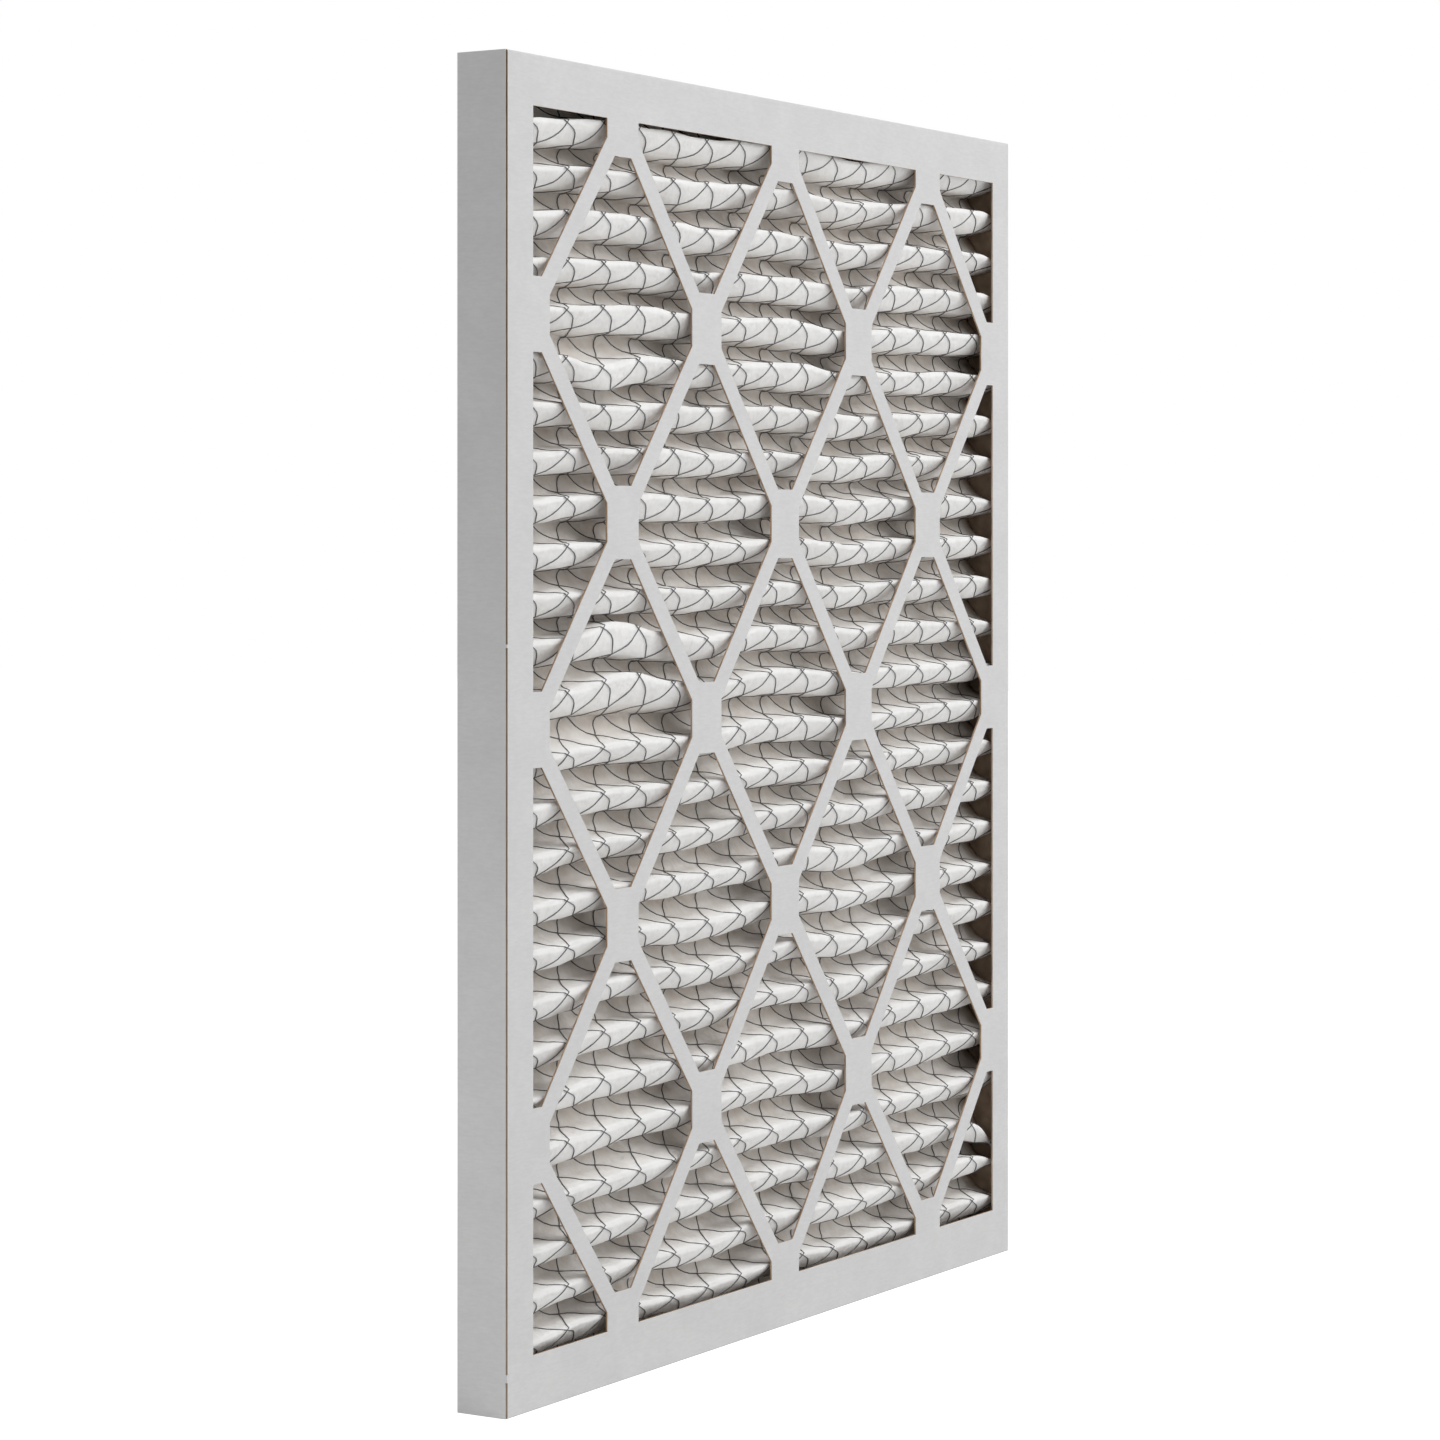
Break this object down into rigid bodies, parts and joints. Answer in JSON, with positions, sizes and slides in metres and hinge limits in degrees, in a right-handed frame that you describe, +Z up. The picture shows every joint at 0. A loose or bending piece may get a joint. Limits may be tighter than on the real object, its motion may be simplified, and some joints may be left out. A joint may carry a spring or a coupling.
{
  "type": "pleated panel air filter",
  "caption": "Flat rectangular air filter: pleated white media with an expanded metal backing in a white board frame with a diagonal grid of windows on both faces.",
  "frame": {"origin": "centre of the frame's bottom edge, where it stands", "axes": "+Z up along the height, +X across the width with the cut-scored spine on the -X side, -Y out of the air-leaving face"},
  "size_m": [0.3938, 0.0222, 0.4953],
  "materials": {
    "coated_board": "matte clay coat, unbleached brown board inside",
    "filter_media": "white non-woven fibre",
    "galvanised_steel": "dull grey galvanised strands",
    "adhesive": "dried adhesive"
  },
  "bodies": {
    "root": {"frame": "coated_board", "pleated_media": "filter_media", "wire_backing": "galvanised_steel", "adhesive_left": "adhesive", "adhesive_right": "adhesive", "adhesive_top": "adhesive", "adhesive_bottom": "adhesive"}
  },
  "joints": []
}
